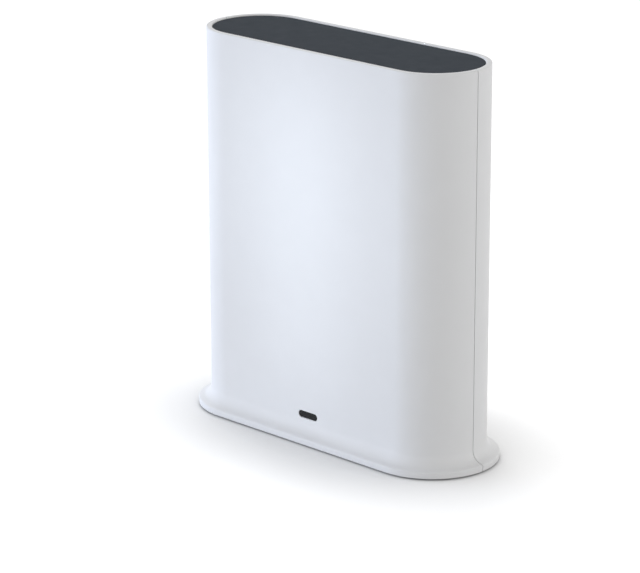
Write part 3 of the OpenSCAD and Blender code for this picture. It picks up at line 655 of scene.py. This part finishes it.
def half_shell(name, side):
    """Half of the case wall: the section swept round the plan and cut back at the parting line."""
    section = [(run / 2 + reach, 0, z) for reach, z in wall_section()]
    piece = draw(name, section)
    quarter = -side * math.pi / 2
    bpy.ops.mesh.spin(steps=END_STEPS, angle=quarter, center=(run / 2, 0, 0), axis=(0, 0, 1))
    bpy.ops.mesh.extrude_region_move(TRANSFORM_OT_translate={"value": (-run, 0, 0)})
    bpy.ops.mesh.spin(steps=END_STEPS, angle=quarter, center=(-run / 2, 0, 0), axis=(0, 0, 1))
    close(piece)
    edit(piece)
    parting = side * SEAM / 2
    for depth in (parting, parting + side * SEAM_EASE):
        bpy.ops.mesh.select_all(action="SELECT")
        bpy.ops.mesh.bisect(plane_co=(0, depth, 0), plane_no=(0, side, 0), threshold=MERGE,
                            clear_inner=depth == parting)
    outside = run / 2 + inner_reach + MERGE
    pick(piece, "VERT", lambda v: abs(v.co.y - parting) < MERGE and abs(v.co.x) > outside)
    bpy.ops.transform.shrink_fatten(value=-SEAM_EASE)
    pick(piece, "EDGE", lambda e: e.is_boundary)
    bpy.ops.mesh.fill_holes(sides=0)
    return close(piece)


def add_bosses(piece, side):
    """Two upright bosses on the wall, with pilot holes for the base screws."""
    middle = (-boss_x, side * boss_y)
    across = [(2 * boss_x, 0, 0)]
    boss = upright("boss", disc(BOSS_R), middle, base_top, base_top + SCREW_L + BLIND)
    join(piece, repeated(boss, across))
    pilot = upright("pilot", disc(SCREW_R + SCREW_GAP), middle, base_top - OVER, base_top + SCREW_L)
    return cut(piece, repeated(pilot, across))


def front_case():
    """Front half of the case, with the hole of the status window."""
    piece = add_bosses(half_shell("front_case", -1), -1)
    hole = pill(window_w + 2 * FIT, window_h + 2 * FIT, SLOT_STEPS)
    cut(piece, bar("window_hole", hole, (0, window_z), -end_reach - OVER, OVER - inner_reach))
    return ease(piece, at_depth(-end_reach), WINDOW_EASE)


def seam_lip(end):
    """Lip behind the parting line of one end, with its root on the rear wall."""
    outer = inner_reach - FIT
    inner = outer - LIP_T
    past = math.degrees(math.asin(LIP_REACH / outer))
    root = math.degrees(math.asin(2 * SEAM / outer))
    plan = (
        arc((0, 0), inner, -past, 2 * past)
        + arc((0, 0), sunk_reach, 2 * past, root)
        + arc((0, 0), outer, root, -past)
    )
    outline = [(end * (run / 2 + x), y) for x, y in plan]
    return upright("seam_lip", outline, (0, 0), base_top + LIP_CLEAR, ledge_under - LIP_CLEAR)


def board_posts(radius, start, end):
    """Four round bars along the depth at the board's screw holes."""
    x, low, high = post_hi.x - HEAD_R, post_lo.z + HEAD_R, post_hi.z - HEAD_R
    post = bar("board_post", disc(radius), (-x, low), start, end)
    return repeated(post, [(2 * x, 0, 0), (0, 0, high - low), (2 * x, 0, high - low)])


def rear_case():
    """Rear half of the case: connector bay, button guide, board posts and locating lips."""
    piece = add_bosses(half_shell("rear_case", 1), 1)
    seat = (bay_w + 2 * PLATE_SEAT, bay_h + 2 * PLATE_SEAT, BAY_ROUND + PLATE_SEAT)
    frame_outline = round_rect(*(size + grow * BAY_FRAME for size, grow in zip(seat, (2, 2, 1))))
    for end in (-1, 1):
        join(piece, seam_lip(end))
    join(piece, board_posts(POST_R, board_rear, sunk_reach))
    join(piece, bar("bay_frame", frame_outline, (0, bay_z), plate_back, sunk_reach))
    guide_end = inner_reach - GUIDE_L
    join(piece, bar("guide", disc(guide_r + GUIDE_T), (0, sync_z), guide_end, sunk_reach))
    cut(piece, bar("plate_seat", round_rect(*seat), (0, bay_z), plate_back - OVER, plate_y))
    bay = round_rect(bay_w, bay_h, BAY_ROUND)
    cut(piece, bar("bay_mouth", bay, (0, bay_z), plate_y - OVER, end_reach + OVER))
    cut(piece, bar("guide_bore", disc(guide_r), (0, sync_z), guide_end - OVER, inner_reach))
    cap_hole = disc(SYNC_R + RUN_GAP)
    cut(piece, bar("button_hole", cap_hole, (0, sync_z), inner_reach - OVER, end_reach + OVER))
    cut(piece, board_posts(SCREW_R + SCREW_GAP, board_rear - OVER, board_lo.y + SCREW_L + BLIND))
    return ease(piece, at_depth(end_reach), BAY_EASE, FINE_EASE_STEPS)


def cover_hook(x, side):
    """Snap hook under the top cover, whose barb catches under the ledge."""
    face = inner_reach - LEDGE_W - FIT
    barb_top = ledge_under - FIT
    barb_low = barb_top - HOOK_BITE
    root = ledge_z + PANEL_T / 2
    outline = [
        (face - HOOK_T, root),
        (face - HOOK_T, barb_low),
        (face, barb_low),
        (face + HOOK_BITE, barb_top),
        (face, barb_top),
        (face, root),
    ]
    points = [(x - HOOK_W / 2, side * y, z) for y, z in outline]
    return raised("cover_hook", points, (HOOK_W, 0, 0))


def top_cover():
    """Flat cover with a softly rounded edge, let into the rim, and four hooks."""
    piece = upright("top_cover", pill(2 * panel_hi.x, 2 * panel_hi.y), (0, 0), ledge_z, panel_z)
    ease(piece, lambda p: p.z > panel_z - MERGE, PANEL_EASE, FINE_EASE_STEPS)
    for x in (-HOOK_X, HOOK_X):
        for side in (-1, 1):
            join(piece, cover_hook(x, side))
    return piece


def light_pipe():
    """Smoked bar from the status window back to the lamp, with a flange behind the wall."""
    window = pill(window_w, window_h, SLOT_STEPS)
    border = pill(window_w + 2 * PIPE_BORDER, window_h + 2 * PIPE_BORDER, SLOT_STEPS)
    piece = bar("window_bar", window, (0, window_z), pipe_lo.y, pipe_hi.y)
    join(piece, bar("pipe_flange", border, (0, window_z), -inner_reach, PIPE_FLANGE - inner_reach))
    return ease(piece, at_depth(pipe_lo.y), PIPE_EASE, FINE_EASE_STEPS)


# Underside

def base_plate():
    """Plate under the case: air slots, a sunk bare field, and seats for feet and screws."""
    outline = pill(2 * base_hi.x, 2 * base_hi.y)
    piece = upright("base_cover", outline, (0, 0), base_lo.z, base_top)
    slot = [(y, x) for x, y in pill(VENT_L, VENT_W, SLOT_STEPS)]
    first = upright("air_slot", slot, (VENT_X, 0), base_lo.z - OVER, base_top + OVER)
    row = [i * VENT_PITCH for i in range(VENT_COUNT)]
    places = [(x, 0, 0) for x in row[1:]] + [(-2 * VENT_X - x, 0, 0) for x in row]
    cut(piece, repeated(first, places))
    field = round_rect(FIELD_W, FIELD_D, FIELD_ROUND)
    cut(piece, upright("field", field, (0, 0), base_lo.z - OVER, base_lo.z + FIELD_SUNK))
    pad_x, pad_y = pad_hi.x - PAD_R, pad_hi.y - PAD_R
    seats = (
        (PAD_R + FIT, pad_x, pad_y, pad_hi.z),
        (HEAD_R + FIT, boss_x, boss_y, head_seat),
        (SCREW_R + SCREW_GAP, boss_x, boss_y, base_top + OVER),
    )
    for radius, x, y, top in seats:
        seat = upright("seat", disc(radius), (-x, -y), base_lo.z - OVER, top)
        cut(piece, at_corners(seat, x, y))
    return ease(piece, lambda p: abs(p.z - base_lo.z) < MERGE, BASE_EASE)


def rubber_feet():
    """Four round pads with a soft lower edge."""
    x, y = pad_hi.x - PAD_R, pad_hi.y - PAD_R
    edge = arc((PAD_R - PAD_ROUND, pad_lo.z + PAD_ROUND), PAD_ROUND, -90, 0)
    profile = [(0, pad_lo.z)] + edge + [(PAD_R, pad_hi.z), (0, pad_hi.z)]
    return at_corners(turned("foot_pads", profile, (-x, -y), "Z"), x, y)


def base_screws():
    """Four screws with round-edged heads and cross recesses."""
    head = arc((HEAD_R - HEAD_ROUND, screw_lo.z + HEAD_ROUND), HEAD_ROUND, -90, 0)
    shank = [(SCREW_R, head_seat), (SCREW_R, screw_hi.z - SCREW_POINT), (SCREW_R / 2, screw_hi.z)]
    profile = [(0, screw_lo.z)] + head + [(HEAD_R, head_seat)] + shank + [(0, screw_hi.z)]
    middle = (-boss_x, -boss_y)
    piece = turned("case_screws", profile, middle, "Z")
    edit(piece)
    pick(piece, "FACE", lambda f: f.calc_center_median().z < screw_lo.z + MERGE)
    bpy.ops.mesh.dissolve_faces()
    close(piece)
    recess = plus(CROSS_L, CROSS_W)
    cut(piece, upright("cross", recess, middle, screw_lo.z - OVER, screw_lo.z + CROSS_DEEP))
    return at_corners(piece, boss_x, boss_y)


# Rear

def io_plate():
    """Dark plate at the bottom of the bay, pierced for the sockets and the reset hole."""
    width, height = plate_hi.x - plate_lo.x, plate_hi.z - plate_lo.z
    outline = round_rect(width, height, BAY_ROUND + PLATE_SEAT - FIT)
    piece = bar("socket_plate", outline, (0, bay_z), plate_back, plate_y)
    eth_hole = round_rect(eth_hi.x - eth_lo.x + 2 * FIT, eth_hi.z - eth_lo.z + 2 * FIT, ETH_ROUND)
    usb_hole = round_rect(usb_hi.x - usb_lo.x + 2 * FIT, usb_hi.z - usb_lo.z + 2 * FIT, USB_ROUND)
    holes = (
        (disc(COLLAR_R + FIT), dc_x),
        (eth_hole, eth_x),
        (usb_hole, usb_x),
        (disc(RESET_HOLE_R), reset_x),
    )
    for hole, x in holes:
        cut(piece, bar("hole", hole, (x, bay_z), plate_back - OVER, plate_y + OVER))
    return ease(piece, at_depth(plate_y), PLATE_EASE)


def sync_button():
    """Round cap with a shallow dish, its flange and its stem in one piece."""
    top = sync_hi.y
    dish_r = (SYNC_DISH_R ** 2 + SYNC_DISH ** 2) / (2 * SYNC_DISH)
    lean = math.degrees(math.asin(SYNC_DISH_R / dish_r))
    profile = (
        [
            (0, sync_lo.y),
            (SYNC_STEM_R, sync_lo.y),
            (SYNC_STEM_R, flange_y - SYNC_FLANGE_T),
            (SYNC_R + SYNC_FLANGE, flange_y - SYNC_FLANGE_T),
            (SYNC_R + SYNC_FLANGE, flange_y),
            (SYNC_R, flange_y),
        ]
        + arc((SYNC_R - SYNC_ROUND, top - SYNC_ROUND), SYNC_ROUND, 0, 90)
        + arc((0, top - SYNC_DISH + dish_r), dish_r, lean - 90, -90)
    )
    return turned("sync_cap", profile, (0, sync_z), "Y")


def plug_outline(grow):
    """Outline of the network plug's cavity with its latch channel, about the socket's middle."""
    side, latch = CAVITY_W / 2 + grow, LATCH_W / 2 + grow
    roof, floor_z = eth_roof - bay_z + grow, eth_floor - bay_z - grow
    return [
        (side, roof), (-side, roof), (-side, floor_z), (-latch, floor_z),
        (-latch, floor_z - LATCH_H), (latch, floor_z - LATCH_H), (latch, floor_z), (side, floor_z),
    ]


def network_shield():
    """Sheet-metal box of the network socket, with its stepped mouth."""
    width, height = eth_hi.x - eth_lo.x, eth_hi.z - eth_lo.z
    middle = (eth_x, bay_z)
    piece = bar("network_shield", round_rect(width, height, ETH_ROUND), middle, eth_lo.y, mouth_y)
    room = rectangle(width - 2 * ETH_SKIN, height - 2 * ETH_SKIN)
    cut(piece, bar("shield_room", room, middle, eth_lo.y - OVER, mouth_y - ETH_SKIN))
    cut(piece, bar("shield_mouth", plug_outline(FIT), middle, mouth_y - OVER, mouth_y + OVER))
    return ease(piece, at_depth(mouth_y), ETH_EASE)


def first_wire_x():
    """Middle of the row's first wire."""
    return eth_x - (WIRE_COUNT - 1) * WIRE_PITCH / 2


def wire_steps():
    """Steps from the first wire to each of the others."""
    return [(i * WIRE_PITCH, 0, 0) for i in range(1, WIRE_COUNT)]


def network_insert():
    """Black block with the plug's cavity and a comb of grooves for the wires in its roof."""
    gap = 2 * (ETH_SKIN + FIT)
    block = rectangle(eth_hi.x - eth_lo.x - gap, eth_hi.z - eth_lo.z - gap)
    face = mouth_y - ETH_SKIN - FIT
    middle = (eth_x, bay_z)
    piece = bar("network_insert", block, middle, eth_lo.y, face)
    cut(piece, bar("cavity", plug_outline(0), middle, mouth_y - CAVITY_L, face + OVER))
    groove = rectangle(WIRE_W + 2 * COMB_GAP, 2 * COMB_DEEP)
    start = mouth_y - WIRE_IN
    comb = bar("comb", groove, (first_wire_x(), eth_roof), start, face + OVER)
    cut(piece, repeated(comb, wire_steps()))
    return ease(piece, at_depth(face), ETH_EASE)


def network_contacts():
    """Eight sprung wires that lean from the cavity's roof towards its back."""
    front = mouth_y - WIRE_IN
    back = front - WIRE_L
    outline = [
        (front, eth_roof),
        (front - WIRE_SEAT, eth_roof),
        (back, eth_roof - WIRE_DROP + WIRE_T),
        (back, eth_roof - WIRE_DROP),
    ]
    points = [(first_wire_x() - WIRE_W / 2, y, z) for y, z in outline]
    piece = raised("network_contacts", points, (WIRE_W, 0, 0))
    ease(piece, lambda p: p.z < eth_roof - MERGE, WIRE_EASE)
    return repeated(piece, wire_steps())


def storage_shell():
    """Folded metal tube of the storage socket."""
    width, height = usb_hi.x - usb_lo.x, usb_hi.z - usb_lo.z
    middle = (usb_x, bay_z)
    outside = round_rect(width, height, USB_ROUND)
    inside = round_rect(width - 2 * USB_SKIN, height - 2 * USB_SKIN, USB_ROUND - USB_SKIN)
    piece = bar("storage_shell", outside, middle, usb_lo.y, mouth_y)
    cut(piece, bar("tube", inside, middle, usb_lo.y - OVER, mouth_y + OVER))
    return ease(piece, at_depth(mouth_y), USB_EASE)


def storage_insert():
    """Filling of the storage socket, with the tongue that carries the contacts."""
    gap = 2 * (USB_SKIN + FIT)
    block = rectangle(usb_hi.x - usb_lo.x - gap, usb_hi.z - usb_lo.z - gap)
    tip = mouth_y - TONGUE_SHORT
    root = tip - TONGUE_L
    piece = bar("storage_insert", block, (usb_x, bay_z), usb_lo.y, root)
    tongue = rectangle(TONGUE_W, TONGUE_T)
    join(piece, bar("tongue", tongue, (usb_x, bay_z + TONGUE_UP), root - OVER, tip))
    return ease(piece, at_depth(tip), TONGUE_EASE)


def storage_contacts():
    """Four strips under the tongue."""
    root = mouth_y - TONGUE_SHORT - TONGUE_L
    z = bay_z + TONGUE_UP - TONGUE_T / 2 - STRIP_T / 2
    first = usb_x - (STRIP_COUNT - 1) * STRIP_PITCH / 2
    strip = bar("storage_contacts", rectangle(STRIP_W, STRIP_T), (first, z), root, root + STRIP_L)
    ease(strip, lambda p: p.z < z, STRIP_EASE)
    return repeated(strip, [(i * STRIP_PITCH, 0, 0) for i in range(1, STRIP_COUNT)])


def power_body():
    """Block of the power socket with its round collar, bore and the leaf's slot."""
    middle = (dc_x, bay_z)
    block = rectangle(dc_hi.x - dc_lo.x, dc_hi.z - dc_lo.z)
    piece = bar("power_body", block, middle, dc_lo.y, shoulder_y)
    join(piece, bar("collar", disc(COLLAR_R), middle, shoulder_y - OVER, mouth_y))
    bottom = mouth_y - BORE_L
    cut(piece, bar("bore", disc(BORE_R), middle, bottom, mouth_y + OVER))
    depth = BORE_R + LEAF_SLOT
    slot = rectangle(LEAF_W + 2 * FIT, depth)
    cut(piece, bar("leaf_slot", slot, (dc_x, bay_z - depth / 2), bottom, bottom + LEAF_L + FIT))
    return ease(piece, at_depth(mouth_y), BORE_EASE, FINE_EASE_STEPS)


def power_pin():
    """Centre pin with a round tip."""
    tip = arc((PIN_R - PIN_ROUND, pin_hi.y - PIN_ROUND), PIN_ROUND, 0, 90)
    profile = [(0, pin_lo.y), (PIN_R, pin_lo.y)] + tip + [(0, pin_hi.y)]
    return turned("power_pin", profile, (dc_x, bay_z), "Y")


def power_leaf():
    """Leaf contact that bows towards the plug."""
    half = LEAF_L / 2
    bow_r = (half ** 2 + LEAF_BOW ** 2) / (2 * LEAF_BOW)
    lean = math.degrees(math.asin(half / bow_r))
    middle = (leaf_lo.y + half, leaf_lo.z + LEAF_BOW - bow_r)
    under = arc(middle, bow_r, 90 - lean, 90 + lean)
    over = arc(middle, bow_r + LEAF_T, 90 + lean, 90 - lean)
    points = [(dc_x - LEAF_W / 2, y, z) for y, z in under + over]
    return raised("power_leaf", points, (LEAF_W, 0, 0))


dressed = (
    (front_case(), "white_shell", "front_shell"),
    (rear_case(), "white_shell", "rear_shell"),
    (top_cover(), "charcoal_cover", "top_panel"),
    (light_pipe(), "smoked_window", "light_pipe"),
    (base_plate(), "white_shell", "base_plate"),
    (rubber_feet(), "foot_rubber", "rubber_feet"),
    (base_screws(), "screw_steel", "base_screws"),
    (io_plate(), "charcoal_cover", "io_plate"),
    (network_shield(), "shield_steel", "ethernet_shield"),
    (network_insert(), "socket_black", "ethernet_insert"),
    (network_contacts(), "contact_gold", "ethernet_contacts"),
    (storage_shell(), "shield_steel", "usb_shell"),
    (storage_insert(), "socket_black", "usb_insert"),
    (storage_contacts(), "contact_gold", "usb_contacts"),
    (power_body(), "socket_black", "dc_jack_body"),
    (power_pin(), "shield_steel", "dc_jack_pin"),
    (power_leaf(), "contact_gold", "dc_jack_leaf"),
)
for piece, slot, node in dressed:
    hand_over(piece, slot, node)
hand_over(sync_button(), "button_white", "sync_button", "sync")

for subpart in frame["record"]["subparts"]:
    node = frame["nodes"][subpart["node"]]
    node.data.materials.clear()
    node.data.materials.append(finishes[subpart["material_slot"]])


# Stage

# Floor, with its real shadow and a painted shadow that dims its glow near the object
FLOOR_SIZE = 8
FLOOR_TONE = 0.7
FLOOR_LIFT = 0.68
PAINTED_SHADOW_REACH = 0.05
PAINTED_SHADOW_DEPTH = 2.3

# Light of the surroundings from low down and from overhead
SKY_LOW = 0.8
SKY_HIGH = 0.25

# Lamps: place, aim, size, power, colour and spread in degrees
WHITE = (1, 1, 1)
COOL = (0.69, 0.79, 1)
PALE_COOL = (0.8, 0.89, 1)
ALL_ROUND = 180
LAMPS = {
    "left_front": ((-1.905, -1.1, 0.34), (0, 0, 0.08), (2.2, 0.6), 33, COOL, ALL_ROUND),
    "right_front": ((1.15, -0.63, 0.22), (0, 0, 0.07), (0.8, 0.4), 1.4, WHITE, ALL_ROUND),
    "front_glow": ((-0.5, -0.85, 0.16), (0, -0.019, 0.09), (0.03, 0.03), 0.0021, PALE_COOL, 7.5),
    "front_band": ((-0.5, -0.85, 0.075), (-0.003, -0.019, 0.075), (0.022, 0.12), 0.0018,
                   PALE_COOL, 3.6),
    "top_left": ((-0.5, 0.35, 0.95), (0, 0, 0.07), (0.5, 0.5), 2.2, WHITE, ALL_ROUND),
    "right_rear": ((0.85, 0.95, 0.4), (0, 0, 0.07), (0.9, 0.9), 2.7, WHITE, ALL_ROUND),
}

# Camera, about the middle of the case
VIEW_TURN = math.radians(43.444)
VIEW_RISE = math.radians(17.548)
VIEW_DISTANCE = 1.00421
VIEW_SIDE = 0.588 * MM
VIEW_UP = -16.5 * MM
VIEW_LENS = 162.2
VIEW_SHIFT = -0.0424
SENSOR = 36


def figure(tree, operation, first, second):
    """Math node that works on two sockets."""
    node = tree.nodes.new("ShaderNodeMath")
    node.operation = operation
    tree.links.new(first, node.inputs[0])
    tree.links.new(second, node.inputs[1])
    return node.outputs[0]


def seen_directly(tree):
    """1 for rays from the camera, from mirrors and through glass, 0 for the light on the object."""
    path = tree.nodes.new("ShaderNodeLightPath")
    either = path.outputs["Is Camera Ray"]
    for name in ("Is Glossy Ray", "Is Transmission Ray"):
        either = figure(tree, "MAXIMUM", either, path.outputs[name])
    return either


def floor_paint():
    """Pale floor: its matte part takes the lamps' real shadow, and its glow, seen directly, is
    white in the open and dimmed near the object by occlusion, a painted shadow.
    """
    material, tree, shader = blank("pale_floor")
    tree.nodes.remove(shader)
    matte = tree.nodes.new("ShaderNodeBsdfDiffuse")
    matte.inputs["Color"].default_value = (FLOOR_TONE, FLOOR_TONE, FLOOR_TONE, 1)
    # Painted shadow: occlusion dims the floor's glow near the object
    painted_shadow_mask = tree.nodes.new("ShaderNodeAmbientOcclusion")
    painted_shadow_mask.inputs["Distance"].default_value = PAINTED_SHADOW_REACH
    depth = tree.nodes.new("ShaderNodeMath")
    depth.operation = "POWER"
    depth.inputs[1].default_value = PAINTED_SHADOW_DEPTH
    tree.links.new(painted_shadow_mask.outputs["AO"], depth.inputs[0])
    shadowed_glow = figure(tree, "MULTIPLY", depth.outputs[0], seen_directly(tree))
    glow = tree.nodes.new("ShaderNodeEmission")
    glow.inputs["Color"].default_value = (FLOOR_LIFT, FLOOR_LIFT, FLOOR_LIFT, 1)
    tree.links.new(shadowed_glow, glow.inputs["Strength"])
    both = tree.nodes.new("ShaderNodeAddShader")
    tree.links.new(matte.outputs[0], both.inputs[0])
    tree.links.new(glow.outputs[0], both.inputs[1])
    tree.links.new(both.outputs[0], tree.nodes["Material Output"].inputs["Surface"])
    return material


def floor():
    """Level floor under the rubber feet."""
    put_down()
    bpy.ops.mesh.primitive_plane_add(size=FLOOR_SIZE)
    plane = bpy.context.object
    plane.name = "floor"
    plane.data.materials.append(floor_paint())


def surroundings():
    """White where it is seen, and a soft light on the object that is strongest from low down."""
    world = bpy.data.worlds.new("studio")
    bpy.context.scene.world = world
    world.use_nodes = True
    tree = world.node_tree
    background = tree.nodes["Background"]
    background.inputs["Color"].default_value = (1, 1, 1, 1)
    direction = tree.nodes.new("ShaderNodeTexCoord")
    parts = tree.nodes.new("ShaderNodeSeparateXYZ")
    tree.links.new(direction.outputs["Generated"], parts.inputs[0])
    soft = tree.nodes.new("ShaderNodeMapRange")
    soft.inputs["To Min"].default_value = SKY_LOW
    soft.inputs["To Max"].default_value = SKY_HIGH
    tree.links.new(parts.outputs["Z"], soft.inputs["Value"])
    strength = figure(tree, "MAXIMUM", seen_directly(tree), soft.outputs["Result"])
    tree.links.new(strength, background.inputs["Strength"])


def lamp(name, spot, aim, size, power, colour, spread):
    """Panel that shines from a spot at an aim and leaves the gloss to the surroundings."""
    put_down()
    bpy.ops.object.light_add(type="AREA", location=spot)
    panel = bpy.context.object
    panel.name = name
    panel.rotation_euler = (Vector(aim) - Vector(spot)).to_track_quat("-Z", "Y").to_euler()
    panel.data.shape = "RECTANGLE"
    panel.data.size, panel.data.size_y = size
    panel.data.energy = power
    panel.data.color = colour
    panel.data.spread = math.radians(spread)
    panel.visible_glossy = False


def camera():
    """Camera at the photograph's viewing angle."""
    back = Vector((math.sin(VIEW_TURN) * math.cos(VIEW_RISE),
                   -math.cos(VIEW_TURN) * math.cos(VIEW_RISE), math.sin(VIEW_RISE)))
    right = Vector((math.cos(VIEW_TURN), math.sin(VIEW_TURN), 0))
    up = back.cross(right)
    spot = Vector((0, 0, rim_z / 2)) + back * VIEW_DISTANCE + right * VIEW_SIDE + up * VIEW_UP
    put_down()
    bpy.ops.object.camera_add(location=spot)
    eye = bpy.context.object
    eye.name = "camera"
    eye.rotation_euler = (-back).to_track_quat("-Z", "Y").to_euler()
    eye.data.sensor_width = SENSOR
    eye.data.sensor_fit = "HORIZONTAL"
    eye.data.lens = VIEW_LENS
    eye.data.shift_x = VIEW_SHIFT
    bpy.context.scene.camera = eye


floor()
surroundings()
for name, setting in LAMPS.items():
    lamp(name, *setting)
camera()
bpy.context.scene.view_settings.view_transform = "Standard"
